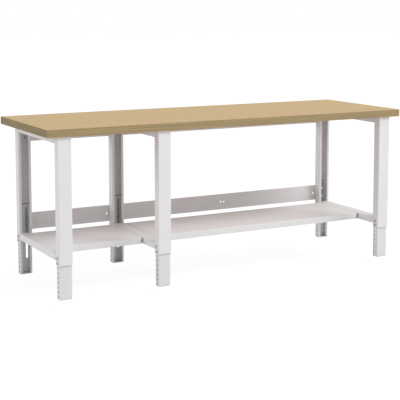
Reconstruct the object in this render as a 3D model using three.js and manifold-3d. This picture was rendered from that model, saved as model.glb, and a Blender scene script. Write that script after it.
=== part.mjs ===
// Assembly table: a thick wooden board on three folded steel leg frames.
// Six channel legs telescope in the columns of the frames and set the working height.
// Units are millimetres. X runs along the table, Y from front to rear and Z up.
// The origin lies on the floor under the middle of the worktop.

import * as THREE from 'three';
import { mergeVertices } from 'three/addons/utils/BufferGeometryUtils.js';
import Module from 'manifold-3d';

const wasm = await Module();
wasm.setup();

// Overall sizes of the table

const TABLE_LENGTH = 2100;
const TABLE_DEPTH = 700;
const TABLE_HEIGHT = 840;
const WORKTOP_THICKNESS = 40;
const WORKTOP_EDGE_ROUND = 2;
const END_OVERHANG = 58;
const FRONT_OVERHANG = 13;
const FRAME_DEPTH = 630;
const LEFT_BAY_CLEAR_WIDTH = 465;

// Folded steel columns and the legs that slide in them

const STEEL_WALL = 2;
const BEND_RADIUS = 3;
const COLUMN_WIDTH = 70;
const COLUMN_DEPTH = 48;
const COLUMN_LIP = 14;
const COLUMN_END_MARGIN = 11;
const LEG_CLEARANCE = 0.3;
const LEG_WEB_GAP = 3.7;
const LEG_LIP = 12;
const LEG_END_MARGIN = 24;
const FOOT_PLATE_THICKNESS = 3;

// Height setting: rows of holes in the leg sides and two clamp bolts in each column

const HOLE_PITCH = 24;
const FIRST_HOLE_HEIGHT = 13;
const LEG_HOLE_COUNT = 15;
const LEG_HOLE_DIAMETER = 9;
const CLAMP_HOLE_INDEX = 7;
const LOWER_STEPS = 7;
const RAISE_STEPS = 2;

// Rails and shelves

const TOP_RAIL_HEIGHT = 35;
const SHELF_TOP = 223;
const FOLD_HEIGHT = 33;
const SHELF_DEPTH = 380;
const SHELF_REAR_GAP = 15;
const SHELF_CORNER_RELIEF = 10;
const SHELF_RETURN = 14;
const SHELF_FLANGE_INSET = 14;

// Back panels behind the rear columns: a row above the shelves and a row under the worktop

const PANEL_WALL = 1.5;
const PANEL_BEND_RADIUS = 2.5;
const PANEL_HEIGHT = 90;
const PANEL_RISE = 6;
const PANEL_TOP_GAP = 4;
const PANEL_FOLD = 12;
const PANEL_END_MARGIN = 14;
const PANEL_HOLE_DIAMETER = 10;
const PANEL_END_HOLE_OFFSET = 14;
const PANEL_PAIR_SPACING = 20;
const PANEL_BOLT_OFFSET = 17;
const PANEL_BOLT_PITCH = 2 * HOLE_PITCH;
const SLOT_WIDTH = 12.3;

// Fasteners

const BOLT_DIAMETER = 8;
const BOLT_HOLE_DIAMETER = 9;
const BOLT_HEAD_ACROSS_FLATS = 13;
const BOLT_HEAD_HEIGHT = 5.3;
const BOLT_FLANGE_DIAMETER = 16;
const BOLT_FLANGE_THICKNESS = 1.6;
const PANEL_BOLT_LENGTH = 12;

// Facets of round shapes

const BEND_STEPS = 1;
const EDGE_STEPS = 3;
const HOLE_SIDES = 8;
const ROUND_SIDES = 12;
const HEX_SIDES = 6;

// Overrun of cutting tools, and the distance below which corners are one

const OVERRUN = 1;
const WELD_DISTANCE = 1e-4;

// Positions that follow from the sizes above

const WORKTOP_UNDERSIDE = TABLE_HEIGHT - WORKTOP_THICKNESS;
const FRONT_WEB_Y = -TABLE_DEPTH / 2 + FRONT_OVERHANG;
const REAR_WEB_Y = FRONT_WEB_Y + FRAME_DEPTH;
const FRONT_LIP_Y = FRONT_WEB_Y + COLUMN_DEPTH;
const REAR_LIP_Y = REAR_WEB_Y - COLUMN_DEPTH;
const RAIL_LENGTH = REAR_LIP_Y - FRONT_LIP_Y;
const LEFT_X = -TABLE_LENGTH / 2 + END_OVERHANG + COLUMN_WIDTH / 2;
const MIDDLE_X = LEFT_X + COLUMN_WIDTH + LEFT_BAY_CLEAR_WIDTH;
const RIGHT_X = TABLE_LENGTH / 2 - END_OVERHANG - COLUMN_WIDTH / 2;
const FRAMES = [
  { side: 'left', x: LEFT_X },
  { side: 'middle', x: MIDDLE_X },
  { side: 'right', x: RIGHT_X },
];
const LEG_WIDTH = COLUMN_WIDTH - 2 * STEEL_WALL - 2 * LEG_CLEARANCE;
const LEG_WEB_INSET = STEEL_WALL + LEG_WEB_GAP;
const LEG_DEPTH = COLUMN_DEPTH - LEG_WEB_INSET - STEEL_WALL - LEG_CLEARANCE;
const LEG_HOLE_INSET = LEG_WEB_INSET + LEG_DEPTH / 2;
const LEG_TOP = FIRST_HOLE_HEIGHT + (LEG_HOLE_COUNT - 1) * HOLE_PITCH + LEG_END_MARGIN;
const CLAMP_HEIGHTS = [0, 1].map((step) => FIRST_HOLE_HEIGHT + (CLAMP_HOLE_INDEX + step) * HOLE_PITCH);
const COLUMN_BOTTOM = CLAMP_HEIGHTS[0] - COLUMN_END_MARGIN;
const PANEL_ROWS = [
  { prefix: '', height: SHELF_TOP + PANEL_RISE + PANEL_HEIGHT / 2 },
  { prefix: 'upper_', height: WORKTOP_UNDERSIDE - PANEL_TOP_GAP - PANEL_HEIGHT / 2 },
];
const panelBoltHeights = (height) => [height - PANEL_BOLT_PITCH / 2, height + PANEL_BOLT_PITCH / 2];
const [FIRST_BOLT_HEIGHT, SECOND_BOLT_HEIGHT] = panelBoltHeights(PANEL_ROWS[0].height);
const SLOT_BOTTOM = FIRST_BOLT_HEIGHT - LOWER_STEPS * HOLE_PITCH - SLOT_WIDTH / 2;
const SLOT_TOP = SECOND_BOLT_HEIGHT + RAISE_STEPS * HOLE_PITCH + SLOT_WIDTH / 2;
const SHELF_FRONT_Y = REAR_LIP_Y - SHELF_REAR_GAP - SHELF_DEPTH;

// Materials

function material(name, colour, roughness, metalness) {
  const result = new THREE.MeshStandardMaterial({ color: colour, roughness, metalness });
  result.name = name;
  return result;
}

const boardMaterial = () => material('beech_board', 0xcdb68e, 0.55, 0);
const steelMaterial = () => material('grey_powder_coat', 0xdcdcda, 0.5, 0.1);
const zincMaterial = () => material('zinc_plated_steel', 0x9a9c9e, 0.35, 0.9);

// Joining and cutting of closed shapes

function toSolid(geometry) {
  const bare = geometry.clone();
  bare.deleteAttribute('normal');
  bare.deleteAttribute('uv');
  const welded = mergeVertices(bare, WELD_DISTANCE);
  const mesh = new wasm.Mesh({
    numProp: 3,
    vertProperties: new Float32Array(welded.attributes.position.array),
    triVerts: new Uint32Array(welded.index.array),
  });
  return new wasm.Manifold(mesh);
}

function toGeometry(solid) {
  const mesh = solid.getMesh();
  const geometry = new THREE.BufferGeometry();
  geometry.setAttribute('position', new THREE.BufferAttribute(mesh.vertProperties, 3));
  geometry.setIndex(new THREE.BufferAttribute(mesh.triVerts, 1));
  const flat = geometry.toNonIndexed();
  flat.computeVertexNormals();
  return flat;
}

function join(geometries) {
  const solids = geometries.map(toSolid);
  return toGeometry(solids.reduce((whole, piece) => whole.add(piece)));
}

function cut(geometry, tools) {
  const solids = tools.map(toSolid);
  const tool = solids.reduce((whole, piece) => whole.add(piece));
  return toGeometry(toSolid(geometry).subtract(tool));
}

// Basic shapes

// Outline of folded sheet. The corners run along its outer face and every fold turns left.
function foldedOutline(corners, wall, radius) {
  const points = corners.map(([x, y]) => new THREE.Vector2(x, y));
  const runs = points.slice(1).map((point, i) => point.clone().sub(points[i]).normalize());
  const bends = points.slice(1, -1).map((corner, i) => {
    const [before, after] = [runs[i], runs[i + 1]];
    const centre = corner.clone().addScaledVector(before, -radius).addScaledVector(after, radius);
    return { centre, start: after.clone().negate().angle(), end: before.angle() };
  });
  const inward = (point, run) => new THREE.Vector2(point.x - run.y * wall, point.y + run.x * wall);
  const first = points[0];
  const last = points[points.length - 1];
  const firstInner = inward(first, runs[0]);
  const lastInner = inward(last, runs[runs.length - 1]);
  const shape = new THREE.Shape();
  shape.moveTo(firstInner.x, firstInner.y);
  shape.lineTo(first.x, first.y);
  for (const { centre, start, end } of bends) {
    shape.absarc(centre.x, centre.y, radius, start, end, false);
  }
  shape.lineTo(last.x, last.y);
  shape.lineTo(lastInner.x, lastInner.y);
  for (const { centre, start, end } of bends.toReversed()) {
    shape.absarc(centre.x, centre.y, radius - wall, end, start, true);
  }
  shape.closePath();
  return shape;
}

function extrude(shape, depth) {
  return new THREE.ExtrudeGeometry(shape, { depth, bevelEnabled: false, curveSegments: BEND_STEPS });
}

// Lays a section drawn across X and Z along Y.
function alongY(geometry, length) {
  return geometry.rotateX(Math.PI / 2).translate(0, length, 0);
}

// Lays a section drawn across Y and Z along X.
function alongX(geometry) {
  const axes = [new THREE.Vector3(0, 1, 0), new THREE.Vector3(0, 0, 1), new THREE.Vector3(1, 0, 0)];
  return geometry.applyMatrix4(new THREE.Matrix4().makeBasis(...axes));
}

// Round bar along Z that starts at the origin.
function bar(diameter, length, sides) {
  const geometry = new THREE.CylinderGeometry(diameter / 2, diameter / 2, length, sides);
  return geometry.rotateX(Math.PI / 2).translate(0, 0, length / 2);
}

function barAlongX(diameter, x0, x1, y, z) {
  return bar(diameter, x1 - x0, HOLE_SIDES).rotateY(Math.PI / 2).translate(x0, y, z);
}

function barAlongY(diameter, y0, y1, x, z) {
  return bar(diameter, y1 - y0, HOLE_SIDES).rotateX(-Math.PI / 2).translate(x, y0, z);
}

function block(x0, x1, y0, y1, z0, z1) {
  const geometry = new THREE.BoxGeometry(x1 - x0, y1 - y0, z1 - z0);
  return geometry.translate((x0 + x1) / 2, (y0 + y1) / 2, (z0 + z1) / 2);
}

// Lipped channel section with its web along the X axis and its open side towards +Y.
function lippedChannel(width, depth, lip) {
  const half = width / 2;
  const corners = [
    [-half + lip, depth],
    [-half, depth],
    [-half, 0],
    [half, 0],
    [half, depth],
    [half - lip, depth],
  ];
  return foldedOutline(corners, STEEL_WALL, BEND_RADIUS);
}

// Column with clamp holes in its left side. The web of a rear column is drilled for the panels.
function columnGeometry(isRear) {
  const height = WORKTOP_UNDERSIDE - COLUMN_BOTTOM;
  const channel = extrude(lippedChannel(COLUMN_WIDTH, COLUMN_DEPTH, COLUMN_LIP), height);
  channel.translate(0, 0, COLUMN_BOTTOM);
  const half = COLUMN_WIDTH / 2;
  const [x0, x1] = isRear ? [half - BEND_RADIUS, half + OVERRUN] : [-half - OVERRUN, -half + BEND_RADIUS];
  const tools = CLAMP_HEIGHTS.map((z) => barAlongX(BOLT_HOLE_DIAMETER, x0, x1, LEG_HOLE_INSET, z));
  if (isRear) {
    for (const z of PANEL_ROWS.flatMap(({ height: middle }) => panelBoltHeights(middle))) {
      tools.push(barAlongY(BOLT_HOLE_DIAMETER, -OVERRUN, BEND_RADIUS, -PANEL_BOLT_OFFSET, z));
      tools.push(barAlongY(BOLT_HOLE_DIAMETER, -OVERRUN, BEND_RADIUS, PANEL_BOLT_OFFSET, z));
    }
  }
  const drilled = cut(channel, tools);
  return isRear ? drilled.rotateZ(Math.PI) : drilled;
}

// Upright slot with round ends, as a tool that passes through a web near y = 0.
function slotTool(x) {
  const radius = SLOT_WIDTH / 2;
  const shape = new THREE.Shape();
  shape.absarc(x, SLOT_TOP - radius, radius, 0, Math.PI, false);
  shape.absarc(x, SLOT_BOTTOM + radius, radius, Math.PI, 2 * Math.PI, false);
  shape.closePath();
  const depth = 2 * BEND_RADIUS;
  return alongY(extrude(shape, depth), depth).translate(0, -BEND_RADIUS, 0);
}

// Leg with a row of holes through both sides. A rear leg has slots that clear the panel bolts.
function legGeometry(isRear) {
  const height = LEG_TOP - FOOT_PLATE_THICKNESS;
  const channel = extrude(lippedChannel(LEG_WIDTH, LEG_DEPTH, LEG_LIP), height);
  channel.translate(0, 0, FOOT_PLATE_THICKNESS);
  const tools = isRear ? [-PANEL_BOLT_OFFSET, PANEL_BOLT_OFFSET].map(slotTool) : [];
  const reach = LEG_WIDTH / 2 + OVERRUN;
  for (let i = 0; i < LEG_HOLE_COUNT; i += 1) {
    const z = FIRST_HOLE_HEIGHT + i * HOLE_PITCH;
    tools.push(barAlongX(LEG_HOLE_DIAMETER, -reach, reach, LEG_DEPTH / 2, z));
  }
  const drilled = cut(channel, tools);
  return isRear ? drilled.rotateZ(Math.PI) : drilled;
}

// Plate under a leg, as wide and as deep as the leg itself.
function footPlateGeometry(isRear) {
  const [x, r] = [LEG_WIDTH / 2 - BEND_RADIUS, BEND_RADIUS];
  const shape = new THREE.Shape();
  shape.absarc(x, r, r, -Math.PI / 2, 0, false);
  shape.absarc(x, LEG_DEPTH - r, r, 0, Math.PI / 2, false);
  shape.absarc(-x, LEG_DEPTH - r, r, Math.PI / 2, Math.PI, false);
  shape.absarc(-x, r, r, Math.PI, 1.5 * Math.PI, false);
  shape.closePath();
  const plate = extrude(shape, FOOT_PLATE_THICKNESS);
  return isRear ? plate.rotateZ(Math.PI) : plate;
}

// Rail of upside-down channel between a front and a rear column.
function railGeometry(height) {
  const half = COLUMN_WIDTH / 2;
  const corners = [
    [half, -height],
    [half, 0],
    [-half, 0],
    [-half, -height],
  ];
  return alongY(extrude(foldedOutline(corners, STEEL_WALL, BEND_RADIUS), RAIL_LENGTH), RAIL_LENGTH);
}

// Shelf tray: long folds at front and rear, cut back at the corners, and a flange at each end.
function shelfGeometry(length) {
  const corners = [
    [SHELF_RETURN, -FOLD_HEIGHT],
    [0, -FOLD_HEIGHT],
    [0, 0],
    [SHELF_DEPTH, 0],
    [SHELF_DEPTH, -FOLD_HEIGHT],
    [SHELF_DEPTH - SHELF_RETURN, -FOLD_HEIGHT],
  ];
  const section = foldedOutline(corners.toReversed(), STEEL_WALL, BEND_RADIUS);
  const tray = alongX(extrude(section, length - 2 * BEND_RADIUS)).translate(BEND_RADIUS, 0, 0);
  const reach = SHELF_RETURN + BEND_RADIUS;
  const bottom = -FOLD_HEIGHT - OVERRUN;
  const relief = (x0, x1) => [
    block(x0, x1, -OVERRUN, reach, bottom, -BEND_RADIUS),
    block(x0, x1, SHELF_DEPTH - reach, SHELF_DEPTH + OVERRUN, bottom, -BEND_RADIUS),
  ];
  const trimmed = cut(tray, [
    ...relief(-OVERRUN, SHELF_CORNER_RELIEF),
    ...relief(length - SHELF_CORNER_RELIEF, length + OVERRUN),
  ]);
  const flangeLength = SHELF_DEPTH - 2 * SHELF_FLANGE_INSET;
  const overlap = 2 * BEND_RADIUS;
  const leftSection = foldedOutline([[overlap, 0], [0, 0], [0, -FOLD_HEIGHT]], STEEL_WALL, BEND_RADIUS);
  const left = alongY(extrude(leftSection, flangeLength), flangeLength).translate(0, SHELF_FLANGE_INSET, 0);
  const right = left.clone().rotateZ(Math.PI).translate(length, SHELF_DEPTH, 0);
  return join([trimmed, left, right]);
}

// Back panel: a strip with its long edges folded to the rear, bolted at both ends.
function panelGeometry(length, endHoleInset) {
  const half = PANEL_HEIGHT / 2;
  const corners = [
    [PANEL_FOLD, half],
    [0, half],
    [0, -half],
    [PANEL_FOLD, -half],
  ];
  const strip = alongX(extrude(foldedOutline(corners, PANEL_WALL, PANEL_BEND_RADIUS), length));
  const drill = (diameter, x, z) => barAlongY(diameter, -OVERRUN, PANEL_BEND_RADIUS, x, z);
  const tools = [
    drill(PANEL_HOLE_DIAMETER, endHoleInset, 0),
    drill(PANEL_HOLE_DIAMETER, length - endHoleInset, 0),
    drill(PANEL_HOLE_DIAMETER, (length - PANEL_PAIR_SPACING) / 2, 0),
    drill(PANEL_HOLE_DIAMETER, (length + PANEL_PAIR_SPACING) / 2, 0),
  ];
  for (const x of [PANEL_END_MARGIN, length - PANEL_END_MARGIN]) {
    tools.push(drill(BOLT_HOLE_DIAMETER, x, -PANEL_BOLT_PITCH / 2));
    tools.push(drill(BOLT_HOLE_DIAMETER, x, PANEL_BOLT_PITCH / 2));
  }
  return cut(strip, tools);
}

// Flanged hexagon bolt. Its seat is at z = 0, the head rises along +Z and the shank points down.
function boltGeometry(shankLength) {
  const hexDiameter = BOLT_HEAD_ACROSS_FLATS / Math.cos(Math.PI / HEX_SIDES);
  const flange = bar(BOLT_FLANGE_DIAMETER, BOLT_FLANGE_THICKNESS, ROUND_SIDES);
  const head = bar(hexDiameter, BOLT_HEAD_HEIGHT, HEX_SIDES);
  const shank = bar(BOLT_DIAMETER, shankLength + BOLT_FLANGE_THICKNESS, HOLE_SIDES);
  shank.translate(0, 0, -shankLength);
  return join([flange, head, shank]);
}

function worktopGeometry() {
  const edge = WORKTOP_EDGE_ROUND;
  const halfLength = TABLE_LENGTH / 2 - edge;
  const halfDepth = TABLE_DEPTH / 2 - edge;
  const shape = new THREE.Shape();
  shape.moveTo(-halfLength, -halfDepth);
  shape.lineTo(halfLength, -halfDepth);
  shape.lineTo(halfLength, halfDepth);
  shape.lineTo(-halfLength, halfDepth);
  shape.closePath();
  const board = new THREE.ExtrudeGeometry(shape, {
    depth: WORKTOP_THICKNESS - 2 * edge,
    bevelSize: edge,
    bevelThickness: edge,
    bevelSegments: EDGE_STEPS,
    curveSegments: 1,
  });
  return board.translate(0, 0, edge);
}

// Assembly

function add(parent, name, geometry, surface, x, y, z) {
  const mesh = new THREE.Mesh(geometry, surface);
  mesh.name = name;
  mesh.position.set(x, y, z);
  parent.add(mesh);
  return mesh;
}

const table = new THREE.Group();
table.name = 'assembly_table';
const bench = new THREE.Group();
bench.name = 'bench';
table.add(bench);

add(bench, 'worktop', worktopGeometry(), boardMaterial(), 0, 0, WORKTOP_UNDERSIDE);

// Leg frames: columns, rails, telescopic legs and clamp bolts

for (const { side, x } of FRAMES) {
  const topRail = railGeometry(TOP_RAIL_HEIGHT);
  add(bench, `top_rail_${side}`, topRail, steelMaterial(), x, FRONT_LIP_Y, WORKTOP_UNDERSIDE);
  add(bench, `lower_rail_${side}`, railGeometry(FOLD_HEIGHT), steelMaterial(), x, FRONT_LIP_Y, SHELF_TOP);

  for (const row of ['front', 'rear']) {
    const isRear = row === 'rear';
    const inward = isRear ? -1 : 1;
    const webY = isRear ? REAR_WEB_Y : FRONT_WEB_Y;
    add(bench, `column_${row}_${side}`, columnGeometry(isRear), steelMaterial(), x, webY, 0);

    CLAMP_HEIGHTS.forEach((z, i) => {
      const name = `clamp_bolt_${row}_${side}_${i === 0 ? 'lower' : 'upper'}`;
      const bolt = boltGeometry(STEEL_WALL).rotateY(-Math.PI / 2);
      add(bench, name, bolt, zincMaterial(), x - COLUMN_WIDTH / 2, webY + inward * LEG_HOLE_INSET, z);
    });

    const leg = new THREE.Group();
    leg.name = `telescopic_leg_${row}_${side}`;
    leg.position.set(x, webY + inward * LEG_WEB_INSET, 0);
    table.add(leg);
    add(leg, `leg_${row}_${side}`, legGeometry(isRear), steelMaterial(), 0, 0, 0);
    add(leg, `foot_plate_${row}_${side}`, footPlateGeometry(isRear), steelMaterial(), 0, 0, 0);
  }
}

// Shelves and back panels in the two bays

const BAYS = [
  { side: 'left', from: LEFT_X, to: MIDDLE_X },
  { side: 'right', from: MIDDLE_X, to: RIGHT_X },
];

for (const { side, from, to } of BAYS) {
  const shelfLength = to - from - COLUMN_WIDTH;
  const shelf = shelfGeometry(shelfLength);
  add(bench, `shelf_${side}`, shelf, steelMaterial(), from + COLUMN_WIDTH / 2, SHELF_FRONT_Y, SHELF_TOP);

  const panelEnd = PANEL_BOLT_OFFSET - PANEL_END_MARGIN;
  const panelLength = to - from - 2 * panelEnd;
  const endHoleInset = COLUMN_WIDTH / 2 - panelEnd + PANEL_END_HOLE_OFFSET;
  const boltColumns = [
    { end: 'left', x: from + PANEL_BOLT_OFFSET },
    { end: 'right', x: to - PANEL_BOLT_OFFSET },
  ];
  for (const { prefix, height } of PANEL_ROWS) {
    const panel = panelGeometry(panelLength, endHoleInset);
    add(bench, `${prefix}back_panel_${side}`, panel, steelMaterial(), from + panelEnd, REAR_WEB_Y, height);

    for (const { end, x } of boltColumns) {
      panelBoltHeights(height).forEach((z, i) => {
        const name = `${prefix}panel_bolt_${side}_${end}_${i === 0 ? 'lower' : 'upper'}`;
        const bolt = boltGeometry(PANEL_BOLT_LENGTH).rotateX(-Math.PI / 2);
        add(bench, name, bolt, zincMaterial(), x, REAR_WEB_Y + PANEL_WALL, z);
      });
    }
  }
}

export default table;
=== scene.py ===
import math

import bpy
import numpy as np
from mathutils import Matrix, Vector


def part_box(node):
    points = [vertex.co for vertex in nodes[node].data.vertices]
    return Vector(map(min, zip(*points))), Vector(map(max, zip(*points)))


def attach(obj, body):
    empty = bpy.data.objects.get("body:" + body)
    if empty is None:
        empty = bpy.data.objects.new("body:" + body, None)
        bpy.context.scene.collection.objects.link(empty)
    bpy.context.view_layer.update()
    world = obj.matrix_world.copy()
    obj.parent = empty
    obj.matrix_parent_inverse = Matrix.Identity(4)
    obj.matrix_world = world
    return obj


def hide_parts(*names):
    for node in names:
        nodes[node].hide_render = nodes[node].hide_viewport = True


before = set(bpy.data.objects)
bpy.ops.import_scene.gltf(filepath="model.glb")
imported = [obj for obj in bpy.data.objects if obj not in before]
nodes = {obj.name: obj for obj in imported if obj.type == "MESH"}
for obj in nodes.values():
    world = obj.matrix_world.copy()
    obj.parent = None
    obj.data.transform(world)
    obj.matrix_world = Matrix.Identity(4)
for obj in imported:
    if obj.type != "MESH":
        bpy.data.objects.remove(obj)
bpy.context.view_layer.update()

# Columns: six lipped channels in three pairs, open towards the middle of the table.
# Each is 2 mm sheet steel, punched flat, folded on a press brake and coated with light grey powder.
# The lower part of the inside, which the sliding leg mostly covers, is painted darker as shade in the
# gap behind the leg.

SIDES = ("left", "middle", "right")
ROWS = ("front", "rear")
COLUMN_WALL = 0.002
COLUMN_BEND = 0.003
COLUMN_LIP = 0.014
COLUMN_HOLE_RADIUS = 0.0045
COLUMN_HOLE_OFFSET = 0.017
COLUMN_HOLE_HEIGHTS = (0.250, 0.298, 0.727, 0.775)
COLUMN_STATIONS = 13
BEND_STEPS = 5
RING_ANGLES = (-45, -22.5, 0, 22.5, 45)
RING_REACH = 1.9
RIM_LAND = 0.0008
GRID_DECIMALS = 7
EDGE_ROUND = 0.0003
EDGE_SEGMENTS = 2
EDGE_ANGLE = 50
SLIDE_TRACK_TOP = 0.353
SLIDE_TRACK_FADE = 0.003
SLIDE_TRACK_SHADE = {"left": 0.38, "middle": 0.38, "right": 0.14}
COAT_GREY = (0.80, 0.791, 0.796)
COAT_CLOUD = (0.768, 0.758, 0.762)
COAT_RUBBED = (0.835, 0.827, 0.831)
# A dark grey for painted shade in holes, seams and gaps, and for steel bared by wear.
SHADE_AND_BARE_STEEL = (0.13, 0.128, 0.127)
COAT_CLOUD_NOISE = (7, 5)
COAT_CLOUD_ROUGHNESS = 0.55
COAT_SPECK_NOISE = (160, 3)
COAT_PEEL_NOISE = (750, 2)
COAT_PEEL_HEIGHT = 0.0004
COAT_PEEL_STRENGTH = 0.12
COAT_ROUGHNESS = (0.44, 0.58)
COAT_RUB_SPAN = (0.4, 0.6)
SHADE_AND_WEAR_RAGGEDNESS = 0.002
NOISE_SPAN = (0.3, 0.7)


def shade(tree, kind, options, sockets):
    """Adds one shader node, sets its options, fills or links its sockets, and returns its outputs."""
    node = tree.nodes.new("ShaderNode" + kind)
    for option, value in options.items():
        setattr(node, option, value)
    for key, value in sockets.items():
        if isinstance(value, bpy.types.NodeSocket):
            tree.links.new(value, node.inputs[key])
        else:
            node.inputs[key].default_value = value
    return node.outputs


def blend_colours(tree, factor, first, second):
    """The first colour where the factor is 0 and the second where it is 1."""
    return shade(tree, "Mix", {"data_type": "RGBA"}, {0: factor, 6: first, 7: second})[2]


def noise(tree, place, fineness, **more):
    """Cloudy noise over a place, mostly within the noise span. Its fineness is a scale and a detail."""
    scale, detail = fineness
    return shade(tree, "TexNoise", {}, {"Vector": place, "Scale": scale, "Detail": detail, **more})[0]


def spread(tree, value, span, target=(0, 1)):
    """A value carried in proportion from one span to another and held at its ends."""
    limits = {1: span[0], 2: span[1], 3: target[0], 4: target[1]}
    return shade(tree, "MapRange", {}, {0: value, **limits})[0]


def ramp(tree, factor, stops):
    """Colours between stops, each a place from 0 to 1 and its colour."""
    outputs = shade(tree, "ValToRGB", {}, {"Fac": factor})
    elements = outputs[0].node.color_ramp.elements
    for element, (place, colour) in zip(elements, stops[:2]):
        element.position = place
        element.color = (*colour, 1)
    for place, colour in stops[2:]:
        elements.new(place).color = (*colour, 1)
    return outputs[0]


def new_finish(name):
    """An empty material, its node tree and its shader."""
    material = bpy.data.materials.new(name)
    material.use_nodes = True
    tree = material.node_tree
    return material, tree, tree.nodes["Principled BSDF"]


def powder_coat(name, unmarked_at=None, darkest_at=None, darkness=1.0, paleness=1.0):
    """Baked powder: cloudy grey, an orange-peel bump, paler rubbed bends, punched rims painted dark as
    shade and seams darkened by dirt and painted shade. From one height to another it can darken towards
    a dark grey, as painted shade and wear. A smaller paleness is a darker grey."""
    material, tree, shader = new_finish(name)
    place = shade(tree, "TexCoord", {}, {})["Object"]
    cloud = noise(tree, place, COAT_CLOUD_NOISE, Roughness=COAT_CLOUD_ROUGHNESS)
    speck = noise(tree, place, COAT_SPECK_NOISE)
    greys = (np.multiply(COAT_CLOUD, paleness), np.multiply(COAT_GREY, paleness))
    tone = ramp(tree, cloud, list(zip(NOISE_SPAN, greys)))
    bend = shade(tree, "Attribute", {"attribute_name": "bend"}, {})["Fac"]
    patchy = spread(tree, speck, COAT_RUB_SPAN)
    rubbed = shade(tree, "Math", {"operation": "MULTIPLY"}, {0: bend, 1: patchy})[0]
    colour = blend_colours(tree, rubbed, tone, (*COAT_RUBBED, 1))
    # The rim mark paints punched rims dark as shade in the holes, and seams dark as dirt and shade.
    rim = shade(tree, "Attribute", {"attribute_name": "rim"}, {})["Fac"]
    colour = blend_colours(tree, rim, colour, (*SHADE_AND_BARE_STEEL, 1))
    # On one side of a height the coat darkens: painted shade by the legs, wear and painted shade on the
    # feet.
    if unmarked_at is not None:
        height = shade(tree, "SeparateXYZ", {}, {0: place})[2]
        ragged_height = {0: speck, 1: SHADE_AND_WEAR_RAGGEDNESS, 2: height}
        ragged = shade(tree, "Math", {"operation": "MULTIPLY_ADD"}, ragged_height)[0]
        lift = SHADE_AND_WEAR_RAGGEDNESS / 2
        bare = spread(tree, ragged, (unmarked_at + lift, darkest_at + lift), (0, darkness))
        colour = blend_colours(tree, bare, colour, (*SHADE_AND_BARE_STEEL, 1))
    peel = noise(tree, place, COAT_PEEL_NOISE)
    relief = {"Height": peel, "Strength": COAT_PEEL_STRENGTH, "Distance": COAT_PEEL_HEIGHT}
    bump = shade(tree, "Bump", {}, relief)[0]
    rough = spread(tree, cloud, NOISE_SPAN, COAT_ROUGHNESS)
    tree.links.new(colour, shader.inputs["Base Color"])
    tree.links.new(rough, shader.inputs["Roughness"])
    tree.links.new(bump, shader.inputs["Normal"])
    return material


def folded_profile(corners, radius):
    """Outer face of a folded sheet: points across it, how far each lies into a bend, the distance
    covered, and the middle of every flat run. A bend is its centre plus the radius times
    the sine and cosine of an angle over a quarter turn."""
    corners = np.array(corners, float)
    runs = np.diff(corners, axis=0)
    runs /= np.linalg.norm(runs, axis=1, keepdims=True)
    before, after = runs[:-1, None], runs[1:, None]
    angle = np.linspace(0, np.pi / 2, BEND_STEPS + 1)
    swing = np.sin(angle)[None, :, None] * before - np.cos(angle)[None, :, None] * after
    bends = corners[1:-1, None] + radius * (after - before + swing)
    points = np.concatenate([corners[:1], bends.reshape(-1, 2), corners[-1:]])
    worn = np.concatenate([[0], np.tile(np.sin(2 * angle), len(bends)), [0]])
    reach = np.concatenate([[0], np.cumsum(np.linalg.norm(np.diff(points, axis=0), axis=1))])
    starts = np.arange(len(runs)) * (BEND_STEPS + 1)
    return points, worn, reach, (reach[starts] + reach[starts + 1]) / 2


def punched_blank(across, along, holes):
    """Flat sheet as a grid of cells over two distances. Each hole swaps a block of cells for two rings.
    A rim point is the nearest point of the hole's middle line plus the radius towards the block's
    edge. Returns the points, the faces and a mark that is 1 on the rims, for painted shade in the
    holes."""
    fan = RING_REACH * np.tan(np.radians(RING_ANGLES))
    for middle, low, high, radius in holes:
        across = np.concatenate([across, middle + radius * fan])
        along = np.concatenate([along, low + radius * fan, high + radius * fan])
    across = np.unique(np.round(across, GRID_DECIMALS))
    along = np.unique(np.round(along, GRID_DECIMALS))
    grid = np.stack(np.meshgrid(across, along, indexing="ij"), axis=-1).reshape(-1, 2)
    number = np.arange(len(grid)).reshape(len(across), len(along))
    kept = np.ones((len(across) - 1, len(along) - 1), bool)
    points, rims, faces, count = [grid], [np.zeros(len(grid))], [], len(grid)
    for middle, low, high, radius in holes:
        block = radius * fan[-1]
        i0, i1 = np.searchsorted(across, np.round([middle - block, middle + block], GRID_DECIMALS))
        j0, j1 = np.searchsorted(along, np.round([low - block, high + block], GRID_DECIMALS))
        kept[i0:i1, j0:j1] = False
        edge = np.concatenate(
            [number[i0:i1, j0], number[i1, j0:j1], number[i1:i0:-1, j1], number[i0, j1:j0:-1]]
        )
        place = grid[edge]
        spine = np.stack([np.full(len(edge), middle), np.clip(place[:, 1], low, high)], axis=1)
        out = (place - spine) / np.linalg.norm(place - spine, axis=1, keepdims=True)
        points += [spine + (radius + RIM_LAND) * out, spine + radius * out]
        rims += [np.zeros(len(edge)), np.ones(len(edge))]
        inner = count + np.arange(len(edge))
        rim = inner + len(edge)
        count += 2 * len(edge)
        for outer_ring, inner_ring in ((edge, inner), (inner, rim)):
            ring = [outer_ring, np.roll(outer_ring, -1), np.roll(inner_ring, -1), inner_ring]
            faces.append(np.stack(ring, axis=1))
    cells = [number[:-1, :-1], number[1:, :-1], number[1:, 1:], number[:-1, 1:]]
    faces.append(np.stack([cell[kept] for cell in cells], axis=1))
    return np.concatenate(points), np.concatenate(faces), np.concatenate(rims)


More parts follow.
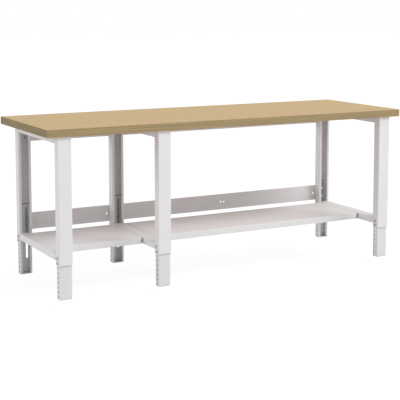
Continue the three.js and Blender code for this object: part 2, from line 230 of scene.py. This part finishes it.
def sheet_piece(name, points, faces, marks, wall, finishes):
    """A sheet given its wall on the inner side, with cut edges broken by a small round."""
    used, faces = np.unique(faces, return_inverse=True)
    mesh = bpy.data.meshes.new(name)
    mesh.from_pydata(points[used].tolist(), [], faces.reshape(-1, 4).tolist())
    for mark, values in marks.items():
        mesh.attributes.new(mark, "FLOAT", "POINT").data.foreach_set("value", values[used])
    for finish in finishes:
        mesh.materials.append(finish)
    mesh.polygons.foreach_set("use_smooth", np.ones(len(mesh.polygons), bool))
    piece = bpy.data.objects.new(name, mesh)
    bpy.context.scene.collection.objects.link(piece)
    skin = piece.modifiers.new("wall", "SOLIDIFY")
    skin.thickness = wall
    skin.offset = -1
    skin.use_even_offset = True
    skin.material_offset = len(finishes) - 1
    edge = piece.modifiers.new("broken_edges", "BEVEL")
    edge.width = EDGE_ROUND
    edge.segments = EDGE_SEGMENTS
    edge.limit_method = "ANGLE"
    edge.angle_limit = math.radians(EDGE_ANGLE)
    edge.use_clamp_overlap = False
    piece.modifiers.new("even_shading", "WEIGHTED_NORMAL")
    return piece


def folded_sheet(name, profile, along, holes, wall, axes, origin, finishes):
    """A punched blank folded to its profile: the place across the blank is looked up on the profile.
    The rows of axes are the directions of the profile's two measures and of the length."""
    section, worn, reach, _ = profile
    flat, faces, rims = punched_blank(reach, along, holes)
    depth = np.interp(flat[:, 0], reach, section[:, 0])
    rise = np.interp(flat[:, 0], reach, section[:, 1])
    points = np.asarray(origin) + np.stack([depth, rise, flat[:, 1]], axis=1) @ np.asarray(axes, float)
    if np.linalg.det(axes) < 0:
        faces = faces[:, ::-1]
    # The rim mark paints the hole walls dark as shade in the holes.
    marks = {"bend": np.interp(flat[:, 0], reach, worn), "rim": rims}
    return sheet_piece(name, points, faces, marks, wall, finishes)


def settle(piece, body, slot, *replaced):
    """Fixes a piece to its body and lets it stand for CAD nodes. Its slot is not used."""
    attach(piece, body)
    if replaced:
        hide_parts(*replaced)


def lipped_channel(low, high, lip, bend):
    """Profile of a channel that fills a box seen from above, with its web at the lower depth."""
    half = (high[0] - low[0]) / 2
    depth = high[1] - low[1]
    left_side = [(lip - half, depth), (-half, depth), (-half, 0)]
    right_side = [(half, 0), (half, depth), (half - lip, depth)]
    return folded_profile(left_side + right_side, bend)


FACING_REAR = ((1, 0, 0), (0, 1, 0), (0, 0, 1))
FACING_FRONT = ((-1, 0, 0), (0, -1, 0), (0, 0, 1))
WEB = 2
coat = powder_coat("light_grey_powder")
# The inside below the leg's top is painted darker as shade in the gap behind the leg; less in the right
# pair.
track_fade = (SLIDE_TRACK_TOP + SLIDE_TRACK_FADE, SLIDE_TRACK_TOP - SLIDE_TRACK_FADE)
column_inside_shaded = {
    side: powder_coat(f"light_grey_inside_shaded_{side}", *track_fade, darkness)
    for side, darkness in SLIDE_TRACK_SHADE.items()
}

for side in SIDES:
    for row in ROWS:
        node = f"column_{row}_{side}"
        low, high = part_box(node)
        profile = lipped_channel(low, high, COLUMN_LIP, COLUMN_BEND)
        punched = []
        if row == "rear":
            punched = [
                (profile[3][WEB] + offset, height, height, COLUMN_HOLE_RADIUS)
                for offset in (-COLUMN_HOLE_OFFSET, COLUMN_HOLE_OFFSET)
                for height in COLUMN_HOLE_HEIGHTS
            ]
        along = np.linspace(low[2], high[2], COLUMN_STATIONS)
        axes = FACING_FRONT if row == "rear" else FACING_REAR
        origin = ((low[0] + high[0]) / 2, high[1] if row == "rear" else low[1], 0)
        form = (profile, along, punched, COLUMN_WALL, axes, origin)
        piece = folded_sheet("folded_" + node, *form, [coat, column_inside_shaded[side]])
        settle(piece, "bench", "grey_powder_coat", node)

# Rails: upside-down channels that tie each front column to its rear one, at the top and at the shelves.
# The same sheet and coat as the columns. Each end is welded to a column's lips on both sides.
# The seams where the lower ones meet the ends of the shelves are darkened by dirt and painted shade.

RAIL_WALL = 0.002
RAIL_BEND = 0.003
RAIL_STATIONS = 9
RAIL_AXES = ((1, 0, 0), (0, 0, 1), (0, 1, 0))
# How dark each seam is, as dirt and painted shade in the gap.
SEAM_DIRT_AND_SHADE = {"left": 0.05, "middle": 0.5, "right": 0.6}
SEAM_DIRT_AND_SHADE_DEPTH = 0.0009
SEAM_SIDES = {"left": (1,), "middle": (-1, 1), "right": (-1,)}
SEAM_END = 0.0005
BEAD_HALF_WIDTH = 0.0022
BEAD_HEIGHT = 0.0009
BEAD_PITCH = 0.0024
BEAD_INSET = 0.002
BEAD_TAPER_POWER = 8
BEAD_RIPPLE = 0.14
BEAD_STATIONS = 49
BEAD_SIDES = 12
BEAD_SHARP_ANGLE = 60
BEAD_ACROSS = np.array([1.0, 0, 0])
BEAD_OUT = np.array([0, 1.0, 0])


def capped_rings(start, rings, end):
    """Closed skin over a row of rings with a point at each end: its points, triangles and quads."""
    rows, columns = rings.shape[:2]
    points = np.concatenate([[start], rings.reshape(-1, 3), [end]])
    number = 1 + np.arange(rows * columns).reshape(rows, columns)
    after = np.roll(number, -1, axis=1)
    first = np.stack([np.zeros(columns, int), after[0], number[0]], axis=1)
    last = np.stack([np.full(columns, len(points) - 1), number[-1], after[-1]], axis=1)
    quads = np.stack([number[:-1], after[:-1], after[1:], number[1:]], axis=-1).reshape(-1, 4)
    return points, np.concatenate([first, last]), quads


def weld_bead(start, end):
    """Run of weld as a flattened tube between two points. Its half width follows a rounded taper
    to both ends, times one plus a small cosine for the ripples."""
    start, end = np.asarray(start, float), np.asarray(end, float)
    share = np.linspace(0, 1, BEAD_STATIONS)[1:-1]
    taper = (1 - (2 * share - 1) ** BEAD_TAPER_POWER) ** 0.5
    ripples = np.linalg.norm(end - start) / BEAD_PITCH
    swell = taper * (1 + BEAD_RIPPLE * np.cos(2 * np.pi * share * ripples))
    angle = np.linspace(0, 2 * np.pi, BEAD_SIDES, endpoint=False)[:, None]
    around = BEAD_HALF_WIDTH * np.cos(angle) * BEAD_ACROSS + BEAD_HEIGHT * np.sin(angle) * BEAD_OUT
    middle = start + share[:, None] * (end - start)
    return capped_rings(start, middle[:, None] + swell[:, None, None] * around[None], end)


def solid_piece(name, shells, finish, sharp_angle):
    """One mesh of closed skins, shaded smooth up to an angle."""
    points, faces, count = [], [], 0
    for skin, triangles, quads in shells:
        points.append(skin)
        faces += (triangles + count).tolist() + (quads + count).tolist()
        count += len(skin)
    mesh = bpy.data.meshes.new(name)
    mesh.from_pydata(np.concatenate(points).tolist(), [], faces)
    mesh.materials.append(finish)
    mesh.polygons.foreach_set("use_smooth", np.ones(len(mesh.polygons), bool))
    mesh.set_sharp_from_angle(angle=math.radians(sharp_angle))
    piece = bpy.data.objects.new(name, mesh)
    bpy.context.scene.collection.objects.link(piece)
    return piece


def settle_dirt_and_shade(piece, strength, top, middle, sides, front, rear):
    """Marks seam dirt and painted shade on some sides of a piece between two depths. It grows with the
    drop below the top and stays full from a small drop on."""
    mesh = piece.data
    place = np.empty(3 * len(mesh.vertices))
    mesh.vertices.foreach_get("co", place)
    x, y, z = place.reshape(-1, 3).T
    met = np.isin(np.sign(x - middle), sides) & (y > front) & (y < rear)
    dirt_and_shade = strength * np.clip((top - z) / SEAM_DIRT_AND_SHADE_DEPTH, 0, 1)
    mesh.attributes["rim"].data.foreach_set("value", met * dirt_and_shade)


shelf_front, shelf_rear = (corner[1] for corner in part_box("shelf_left"))
for side in SIDES:
    for level in ("top", "lower"):
        node = f"{level}_rail_{side}"
        low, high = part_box(node)
        half, height = (high[0] - low[0]) / 2, high[2] - low[2]
        profile = folded_profile([(half, -height), (half, 0), (-half, 0), (-half, -height)], RAIL_BEND)
        along = np.linspace(0, high[1] - low[1], RAIL_STATIONS)
        if level == "lower":
            seam_ends = np.array([shelf_front, shelf_rear]) - low[1]
            along = np.concatenate([along, seam_ends - SEAM_END, seam_ends + SEAM_END])
        origin = ((low[0] + high[0]) / 2, low[1], high[2])
        form = (profile, along, [], RAIL_WALL, RAIL_AXES, origin)
        piece = folded_sheet("folded_" + node, *form, [coat])
        if level == "lower":
            seam = (high[2], origin[0], SEAM_SIDES[side], shelf_front, shelf_rear)
            settle_dirt_and_shade(piece, SEAM_DIRT_AND_SHADE[side], *seam)
        settle(piece, "bench", "grey_powder_coat", node)
        beads = [
            weld_bead((x, y, low[2] + BEAD_INSET), (x, y, high[2] - RAIL_BEND))
            for x in (low[0], high[0])
            for y in (low[1], high[1])
        ]
        piece = solid_piece("weld_" + node, beads, coat, BEAD_SHARP_ANGLE)
        settle(piece, "bench", "grey_powder_coat")

# Legs: narrower lipped channels that slide in the columns, each welded to a foot plate.
# Sheet steel with a row of punched holes in both sides. Slots in the rear ones clear the panel bolts.
# A slightly deeper grey; a thin band at the top ends of the left and middle legs is painted dark as
# shade in the gap to their columns.

LEG_WALL = 0.002
LEG_BEND = 0.003
LEG_LIP = 0.012
LEG_HOLE_RADIUS = 0.0045
LEG_HOLE_FIRST = 0.013
LEG_HOLE_PITCH = 0.024
LEG_HOLE_COUNT = 15
LEG_SLOT_RADIUS = 0.00615
LEG_SLOT_OFFSET = 0.017
LEG_SLOT_ENDS = (0.082, 0.346)
LEG_TOP = 0.373
# A thin band at each leg's top is painted dark as shade in the gap to its column, faintly on the right
# legs.
LEG_SHADED_BAND = 0.0032
LEG_SHADE_FADE = 0.001
LEG_END_SHADE = {"left": 1.0, "middle": 1.0, "right": 0.1}
LEG_PALENESS = 0.955
LEG_SIDES = (1, 3)

leg_hole_heights = LEG_HOLE_FIRST + LEG_HOLE_PITCH * np.arange(LEG_HOLE_COUNT)
shaded_from = LEG_TOP - LEG_SHADED_BAND
leg_fade = (shaded_from, shaded_from + LEG_SHADE_FADE)
leg_coat_shaded_top = {
    side: powder_coat(f"light_grey_leg_shaded_top_{side}", *leg_fade, darkness, LEG_PALENESS)
    for side, darkness in LEG_END_SHADE.items()
}
for side in SIDES:
    for row in ROWS:
        node = f"leg_{row}_{side}"
        low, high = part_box(node)
        profile = lipped_channel(low, high, LEG_LIP, LEG_BEND)
        punched = [
            (profile[3][leg_side], height, height, LEG_HOLE_RADIUS)
            for leg_side in LEG_SIDES
            for height in leg_hole_heights
        ]
        if row == "rear":
            punched += [
                (profile[3][WEB] + offset, *LEG_SLOT_ENDS, LEG_SLOT_RADIUS)
                for offset in (-LEG_SLOT_OFFSET, LEG_SLOT_OFFSET)
            ]
        along = np.array([low[2], high[2]])
        axes = FACING_FRONT if row == "rear" else FACING_REAR
        origin = ((low[0] + high[0]) / 2, high[1] if row == "rear" else low[1], 0)
        form = (profile, along, punched, LEG_WALL, axes, origin)
        piece = folded_sheet("folded_" + node, *form, [leg_coat_shaded_top[side]])
        settle(piece, f"telescopic_leg_{row}_{side}", "grey_powder_coat", node)

# Foot plates: one flat plate of 3 mm steel under each leg, cut to the leg's outline and welded on.
# It is coated with its leg and darkened all over, partly as wear from floors and partly as painted
# shade inside the leg.

FOOT_SHADE_AND_WEAR = 0.25
FOOT_FADE = (0.012, 0.006)

# The plates' coat is darkened, partly as wear from floors and partly as painted shade inside the legs.
foot_coat_shaded_and_worn = powder_coat("light_grey_foot_shaded_and_worn", *FOOT_FADE, FOOT_SHADE_AND_WEAR)
for side in SIDES:
    for row in ROWS:
        nodes[f"foot_plate_{row}_{side}"].material_slots[0].material = foot_coat_shaded_and_worn

# Clamp bolts: two in the left side of every column, screwed into a hole of the leg to hold its height.
# Flanged hexagon bolts of steel, cold headed and zinc plated.

BOLT_HEAD_HEIGHT = 0.0053
BOLT_FLATS = 0.0065
BOLT_FLANGE_RADIUS = 0.008
BOLT_FLANGE_STEPS = ((0, -0.0002), (0.0003, 0), (0.0008, 0), (0.0011, -0.0002))
BOLT_HEXAGON_FOOT = 0.0019
BOLT_HEXAGON_CORNER = 1.165
BOLT_CROWN_STEPS = ((-0.0010, 1.165), (-0.0006, 1.085), (-0.0002, 0.99), (0, 0.93), (-0.0002, 0.70))
BOLT_SHANK_RADIUS = 0.004
BOLT_SHANK_CHAMFER = 0.0008
BOLT_SIDES = 48
BOLT_SHARP_ANGLE = 25
NO_FLATS = 1.0
ZINC_BRIGHT = (0.50, 0.505, 0.515)
ZINC_DULL = (0.36, 0.365, 0.375)
ZINC_BLOTCH_NOISE = (260, 4)
ZINC_SCRATCH_NOISE = (1400, 2)
ZINC_SCRATCH_DEPTH = 0.0002
ZINC_SCRATCH_STRENGTH = 0.08
ZINC_ROUGHNESS = (0.34, 0.5)
ZINC_METALLIC = 0.85


def zinc_plate():
    """Zinc plating: pale grey metal with a dull blotchy passivation and fine scratches."""
    material, tree, shader = new_finish("bright_zinc_plate")
    place = shade(tree, "TexCoord", {}, {})["Object"]
    blotch = noise(tree, place, ZINC_BLOTCH_NOISE)
    tone = ramp(tree, blotch, list(zip(NOISE_SPAN, (ZINC_DULL, ZINC_BRIGHT))))
    rough = spread(tree, blotch, NOISE_SPAN, ZINC_ROUGHNESS)
    scratch = noise(tree, place, ZINC_SCRATCH_NOISE)
    relief = {"Height": scratch, "Strength": ZINC_SCRATCH_STRENGTH, "Distance": ZINC_SCRATCH_DEPTH}
    bump = shade(tree, "Bump", {}, relief)[0]
    shader.inputs["Metallic"].default_value = ZINC_METALLIC
    tree.links.new(tone, shader.inputs["Base Color"])
    tree.links.new(rough, shader.inputs["Roughness"])
    tree.links.new(bump, shader.inputs["Normal"])
    return material


def turned_solid(rings, seat, axis, across):
    """Solid around an axis from rings of height, circle radius and flat distance.
    A ring's radius is the smaller of the circle and the hexagon at each angle."""
    height, circle, flat = np.array(rings, float).T
    angle = np.linspace(0, 2 * np.pi, BOLT_SIDES, endpoint=False)
    hexagon = 1 / np.cos(angle % (np.pi / 3) - np.pi / 6)
    radius = np.minimum(circle[:, None], flat[:, None] * hexagon)
    axis, across = np.asarray(axis, float), np.asarray(across, float)
    around = np.cos(angle)[:, None] * across + np.sin(angle)[:, None] * np.cross(axis, across)
    place = np.asarray(seat) + height[:, None] * axis
    return capped_rings(place[0], place[:, None] + radius[..., None] * around[None], place[-1])


def bolt_rings(shank):
    """Rings of a bolt from the end of its shank to the top of its head, with the seat at height 0.
    A step of the flange is a height and a change of its radius. A step of the crown is a height from
    the top of the head and a share of the flats' distance."""
    tip = BOLT_SHANK_RADIUS - BOLT_SHANK_CHAMFER
    stem = [(-shank, tip), (BOLT_SHANK_CHAMFER - shank, BOLT_SHANK_RADIUS), (0, BOLT_SHANK_RADIUS)]
    flange = [(height, BOLT_FLANGE_RADIUS + change) for height, change in BOLT_FLANGE_STEPS]
    foot = [(BOLT_HEXAGON_FOOT, BOLT_FLATS * BOLT_HEXAGON_CORNER)]
    crown = [(BOLT_HEAD_HEIGHT + drop, BOLT_FLATS * share) for drop, share in BOLT_CROWN_STEPS]
    round_rings = [(*ring, NO_FLATS) for ring in stem + flange]
    return round_rings + [(*ring, BOLT_FLATS) for ring in foot + crown]


zinc = zinc_plate()
for side in SIDES:
    for row in ROWS:
        for place in ("lower", "upper"):
            node = f"clamp_bolt_{row}_{side}_{place}"
            low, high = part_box(node)
            seat = (low[0] + BOLT_HEAD_HEIGHT, (low[1] + high[1]) / 2, (low[2] + high[2]) / 2)
            turned = turned_solid(bolt_rings(high[0] - seat[0]), seat, (-1, 0, 0), (0, 0, 1))
            piece = solid_piece("zinc_" + node, [turned], zinc, BOLT_SHARP_ANGLE)
            settle(piece, "bench", "zinc_plated_steel", node)

# Shelves: one tray in each bay between the lower rails.
# A sheet blank with its corners cut out, folded down along all four sides and coated like the frames.
# The seams where its ends meet the rails are darkened by dirt and painted shade.

SHELF_WALL = 0.002
SHELF_BEND = 0.003
SHELF_RETURN = 0.014
SHELF_RELIEF = 0.010
SHELF_FLANGE_INSET = 0.014
SHELF_STATIONS_ACROSS = 9
SHELF_STATIONS_ALONG = 13
SHELF_RAILS = {"left": ("left", "middle"), "right": ("middle", "right")}

for side in ("left", "right"):
    node = f"shelf_{side}"
    low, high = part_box(node)
    length, depth, drop = np.subtract(high, low)
    rear_half = [(depth - SHELF_RETURN, -drop), (depth, -drop), (depth, 0)]
    front_half = [(0, 0), (0, -drop), (SHELF_RETURN, -drop)]
    section, section_worn, section_reach, _ = folded_profile(rear_half + front_half, SHELF_BEND)
    end_corners = [(0, -drop), (0, 0), (length, 0), (length, -drop)]
    ends, ends_worn, ends_reach, _ = folded_profile(end_corners, SHELF_BEND)
    rear, front = section_reach[np.isclose(section[:, 1], 0)]
    left, right = ends_reach[np.isclose(ends[:, 1], 0)]
    inset = SHELF_FLANGE_INSET - SHELF_BEND
    relief = SHELF_RELIEF - SHELF_BEND
    flat_depth = np.linspace(rear + inset, front - inset, SHELF_STATIONS_ACROSS)
    flat_length = np.linspace(left + relief, right - relief, SHELF_STATIONS_ALONG)
    across = np.concatenate([section_reach, flat_depth])
    along = np.concatenate([ends_reach, flat_length])
    flat, faces, _ = punched_blank(across, along, [])
    cell = flat[faces].mean(axis=1)
    past_side = np.maximum(rear - cell[:, 0], cell[:, 0] - front)
    past_end = np.maximum(left - cell[:, 1], cell[:, 1] - right)
    corner_cut = (past_side > SHELF_BEND * np.pi / 2) & (past_end > -relief)
    flange_cut = (past_end > 0) & (past_side > -inset)
    faces = faces[~(corner_cut | flange_cut)]
    x = low[0] + np.interp(flat[:, 1], ends_reach, ends[:, 0])
    y = low[1] + np.interp(flat[:, 0], section_reach, section[:, 0])
    side_drop = np.interp(flat[:, 0], section_reach, section[:, 1])
    end_drop = np.interp(flat[:, 1], ends_reach, ends[:, 1])
    side_worn = np.interp(flat[:, 0], section_reach, section_worn)
    end_worn = np.interp(flat[:, 1], ends_reach, ends_worn)
    points = np.stack([x, y, high[2] + side_drop + end_drop], axis=1)
    # The ends are darkened in their seams by dirt and painted shade.
    left_dirt_and_shade, right_dirt_and_shade = (SEAM_DIRT_AND_SHADE[rail] for rail in SHELF_RAILS[side])
    end_dirt_and_shade = np.where(x < (low[0] + high[0]) / 2, left_dirt_and_shade, right_dirt_and_shade)
    dirt_and_shade = end_dirt_and_shade * np.clip(-end_drop / SEAM_DIRT_AND_SHADE_DEPTH, 0, 1)
    marks = {"bend": np.maximum(side_worn, end_worn), "rim": dirt_and_shade}
    piece = sheet_piece("folded_" + node, points, faces, marks, SHELF_WALL, [coat])
    settle(piece, "bench", "grey_powder_coat", node)

# Back panels: strips behind the rear columns that brace the frames, over the shelves and under the top.
# Thinner sheet with both long edges folded to the rear, a hole near each end and a pair in the middle.

PANEL_WALL = 0.0015
PANEL_BEND = 0.0025
PANEL_HOLE_RADIUS = 0.005
PANEL_HOLE_INSET = 0.046
PANEL_PAIR_SPACING = 0.020
PANEL_FACE = 1
PANEL_STATIONS = 9
PANEL_AXES = ((0, 1, 0), (0, 0, 1), (1, 0, 0))

for node in ("back_panel_left", "back_panel_right", "upper_back_panel_left", "upper_back_panel_right"):
    low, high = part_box(node)
    length, fold, height = np.subtract(high, low)
    corners = [(fold, height / 2), (0, height / 2), (0, -height / 2), (fold, -height / 2)]
    profile = folded_profile(corners, PANEL_BEND)
    pair = (length / 2 - PANEL_PAIR_SPACING / 2, length / 2 + PANEL_PAIR_SPACING / 2)
    punched = [
        (profile[3][PANEL_FACE], place, place, PANEL_HOLE_RADIUS)
        for place in (PANEL_HOLE_INSET, *pair, length - PANEL_HOLE_INSET)
    ]
    origin = (low[0], low[1], (low[2] + high[2]) / 2)
    along = np.linspace(0, length, PANEL_STATIONS)
    form = (profile, along, punched, PANEL_WALL, PANEL_AXES, origin)
    piece = folded_sheet("folded_" + node, *form, [coat])
    settle(piece, "bench", "grey_powder_coat", node)

# Panel bolts: four for each panel, driven from the rear into the webs of the rear columns.
# The same zinc plated bolts as the clamps.

for level in ("panel", "upper_panel"):
    for side in ("left", "right"):
        for end in ("left", "right"):
            for place in ("lower", "upper"):
                node = f"{level}_bolt_{side}_{end}_{place}"
                low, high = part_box(node)
                seat = ((low[0] + high[0]) / 2, high[1] - BOLT_HEAD_HEIGHT, (low[2] + high[2]) / 2)
                turned = turned_solid(bolt_rings(seat[1] - low[1]), seat, (0, 1, 0), (0, 0, 1))
                piece = solid_piece("zinc_" + node, [turned], zinc, BOLT_SHARP_ANGLE)
                settle(piece, "bench", "zinc_plated_steel", node)

# Worktop: a 40 mm board of beech plies, sanded, with softly broken edges and a matt lacquer.
# The fibres of the face run along the table. The edges show the plies; the ends soak up more lacquer.
# The underside is left bare, in the redder tone of steamed beech.

BEECH_LIGHT = (0.575, 0.422, 0.222)
BEECH_MID = (0.545, 0.390, 0.196)
BEECH_DARK = (0.499, 0.344, 0.162)
BEECH_FLECK = (0.36, 0.245, 0.115)
PLY_LIGHT = (0.395, 0.298, 0.155)
PLY_DARK = (0.300, 0.220, 0.110)
END_DARK = 0.74
BARE_TINT = (0.99, 0.824, 1.085)
BROAD_STRETCH = (1.1, 22, 22)
BROAD_NOISE = (1.6, 3)
BROAD_DISTORTION = 0.4
FINE_STRETCH = (6, 240, 240)
FINE_NOISE = (1.5, 4)
FINE_SHARE = 0.5
GRAIN_STOPS = [(0.5, BEECH_DARK), (1.0, BEECH_LIGHT), (0.75, BEECH_MID)]
RAY_STRETCH = (130, 900, 900)
RAY_NOISE = (1, 1)
FLECK_SPAN = (0.63, 0.72)
FLECK_STRENGTH = 0.55
PLY_STRETCH = (4, 4, 330)
PLY_NOISE = (1, 3)
PLY_SPAN = (0.35, 0.65)
END_SPAN = (0.3, 0.8)
FACE_SPAN = (0.2, 0.7)
UNDERSIDE_SPAN = (-0.2, -0.7)
BOARD_ROUGHNESS = (0.56, 0.68)
BOARD_SHEEN = 0.25
FIBRE_HEIGHT = 0.0003
FIBRE_STRENGTH = 0.1


def stretched(tree, place, stretch):
    """A place with its three measures multiplied, for a pattern that runs longer one way."""
    return shade(tree, "Mapping", {}, {"Vector": place, "Scale": stretch})[0]


def beech_board():
    """Lacquered beech: broad and fine fibres along the board, short ray flecks, plies on the edges
    and a bare underside."""
    material, tree, shader = new_finish("lacquered_beech")
    place = shade(tree, "TexCoord", {}, {})
    spot = place["Object"]
    broad = noise(tree, stretched(tree, spot, BROAD_STRETCH), BROAD_NOISE, Distortion=BROAD_DISTORTION)
    fine = noise(tree, stretched(tree, spot, FINE_STRETCH), FINE_NOISE)
    fibres = shade(tree, "Math", {"operation": "MULTIPLY_ADD"}, {0: fine, 1: FINE_SHARE, 2: broad})[0]
    grain = ramp(tree, fibres, GRAIN_STOPS)
    ray = noise(tree, stretched(tree, spot, RAY_STRETCH), RAY_NOISE)
    fleck = spread(tree, ray, FLECK_SPAN, (0, FLECK_STRENGTH))
    face = blend_colours(tree, fleck, grain, (*BEECH_FLECK, 1))
    ply = noise(tree, stretched(tree, spot, PLY_STRETCH), PLY_NOISE)
    edge = ramp(tree, ply, list(zip(PLY_SPAN, (PLY_DARK, PLY_LIGHT))))
    side = shade(tree, "SeparateXYZ", {}, {0: place["Normal"]})
    upright = shade(tree, "Math", {"operation": "ABSOLUTE"}, {0: side[2]})[0]
    endwise = shade(tree, "Math", {"operation": "ABSOLUTE"}, {0: side[0]})[0]
    soaked = spread(tree, endwise, END_SPAN, (1, END_DARK))
    edge = shade(tree, "VectorMath", {"operation": "SCALE"}, {0: edge, "Scale": soaked})[0]
    bare = shade(tree, "VectorMath", {"operation": "MULTIPLY"}, {0: face, 1: BARE_TINT})[0]
    face = blend_colours(tree, spread(tree, side[2], UNDERSIDE_SPAN), face, bare)
    colour = blend_colours(tree, spread(tree, upright, FACE_SPAN), edge, face)
    relief = {"Height": fibres, "Strength": FIBRE_STRENGTH, "Distance": FIBRE_HEIGHT}
    bump = shade(tree, "Bump", {}, relief)[0]
    rough = spread(tree, broad, NOISE_SPAN, BOARD_ROUGHNESS)
    shader.inputs["Specular IOR Level"].default_value = BOARD_SHEEN
    tree.links.new(colour, shader.inputs["Base Color"])
    tree.links.new(rough, shader.inputs["Roughness"])
    tree.links.new(bump, shader.inputs["Normal"])
    return material


nodes["worktop"].material_slots[0].material = beech_board()

# Studio: a pale floor just below the lowest reach of the legs, a white surround and three soft boxes.
# The key stands to the right, a fill behind to the left and a weaker one above the front.

FLOOR_REACH = 40.0
FLOOR_HEIGHT = -0.049
FLOOR_SHADED = (0.78, 0.78, 0.78, 1)
FLOOR_SEEN = (0.25, 0.25, 0.25, 1)
FLOOR_GLOW = 0.85
SURROUND_SEEN = 1.0
SURROUND_LIGHT = 0.6
WHITE = (1, 1, 1, 1)
LAMP_AIM = (0, 0, 0.5)


def seen_directly(tree):
    """1 for rays from the camera, from mirrors and through glass, otherwise 0."""
    path = shade(tree, "LightPath", {}, {})
    either = {0: path["Is Camera Ray"], 1: path["Is Glossy Ray"]}
    direct = shade(tree, "Math", {"operation": "MAXIMUM"}, either)[0]
    return shade(tree, "Math", {"operation": "MAXIMUM"}, {0: direct, 1: path["Is Transmission Ray"]})[0]


world = bpy.data.worlds.new("studio_surround")
bpy.context.scene.world = world
world.use_nodes = True
tree = world.node_tree
white = shade(tree, "Background", {}, {"Color": WHITE, "Strength": SURROUND_SEEN})[0]
soft = shade(tree, "Background", {}, {"Color": WHITE, "Strength": SURROUND_LIGHT})[0]
both = shade(tree, "MixShader", {}, {0: seen_directly(tree), 1: soft, 2: white})[0]
tree.links.new(both, tree.nodes["World Output"].inputs["Surface"])

floor_mesh = bpy.data.meshes.new("studio_floor")
square = FLOOR_REACH * np.array([[-1, -1], [1, -1], [1, 1], [-1, 1]])
corners = np.column_stack([square, np.full(len(square), FLOOR_HEIGHT)])
floor_mesh.from_pydata(corners.tolist(), [], [[0, 1, 2, 3]])
floor = bpy.data.objects.new("studio_floor", floor_mesh)
bpy.context.scene.collection.objects.link(floor)
paint = bpy.data.materials.new("studio_floor_paint")
paint.use_nodes = True
tree = paint.node_tree
pale = shade(tree, "BsdfDiffuse", {}, {"Color": FLOOR_SHADED})[0]
faint = shade(tree, "BsdfDiffuse", {}, {"Color": FLOOR_SEEN})[0]
glow = shade(tree, "Emission", {}, {"Color": WHITE, "Strength": FLOOR_GLOW})[0]
bright = shade(tree, "AddShader", {}, {0: faint, 1: glow})[0]
both = shade(tree, "MixShader", {}, {0: seen_directly(tree), 1: pale, 2: bright})[0]
tree.links.new(both, tree.nodes["Material Output"].inputs["Surface"])
floor_mesh.materials.append(paint)


def soft_box(name, place, width, height, watts):
    """A rectangular studio lamp, turned towards the middle of the table."""
    lamp = bpy.data.lights.new(name, "AREA")
    lamp.shape = "RECTANGLE"
    lamp.size, lamp.size_y = width, height
    lamp.energy = watts
    holder = bpy.data.objects.new(name, lamp)
    bpy.context.scene.collection.objects.link(holder)
    holder.location = place
    back = np.subtract(place, LAMP_AIM)
    tilt = math.atan2(math.hypot(back[0], back[1]), back[2])
    holder.rotation_euler = (tilt, 0, math.atan2(back[0], -back[1]))


soft_box("key_lamp", (13.2, -11.1, 15.0), width=9.6, height=8.0, watts=2300)
soft_box("left_fill_lamp", (-16.35, 5.95, 5.15), width=7.2, height=6.0, watts=558)
soft_box("front_fill_lamp", (0, -3.86, 5.1), width=2.4, height=2.0, watts=40)

# Camera: the photograph's place, angle and lens, fitted to the table's corners and uprights.
# It has part of the photograph's upward shift, because every other view keeps the shift too.

IMAGE_PIXELS = 400
LENS_PIXELS = 1079.9
LENS_SHIFT = -0.19
SENSOR_WIDTH = 36
VIEW_REACH = 200
CAMERA_PLACE = (-2.8151, -5.1553, 1.4441)
CAMERA_DIP = 6.474
CAMERA_TURN = 28.297

lens = bpy.data.cameras.new("photo_camera")
lens.sensor_width = SENSOR_WIDTH
lens.lens = LENS_PIXELS / IMAGE_PIXELS * SENSOR_WIDTH
lens.shift_y = LENS_SHIFT
lens.clip_end = VIEW_REACH
camera = bpy.data.objects.new("photo_camera", lens)
bpy.context.scene.collection.objects.link(camera)
camera.location = CAMERA_PLACE
camera.rotation_euler = (math.radians(90 - CAMERA_DIP), 0, math.radians(-CAMERA_TURN))
bpy.context.scene.camera = camera
bpy.context.scene.view_settings.view_transform = "Standard"
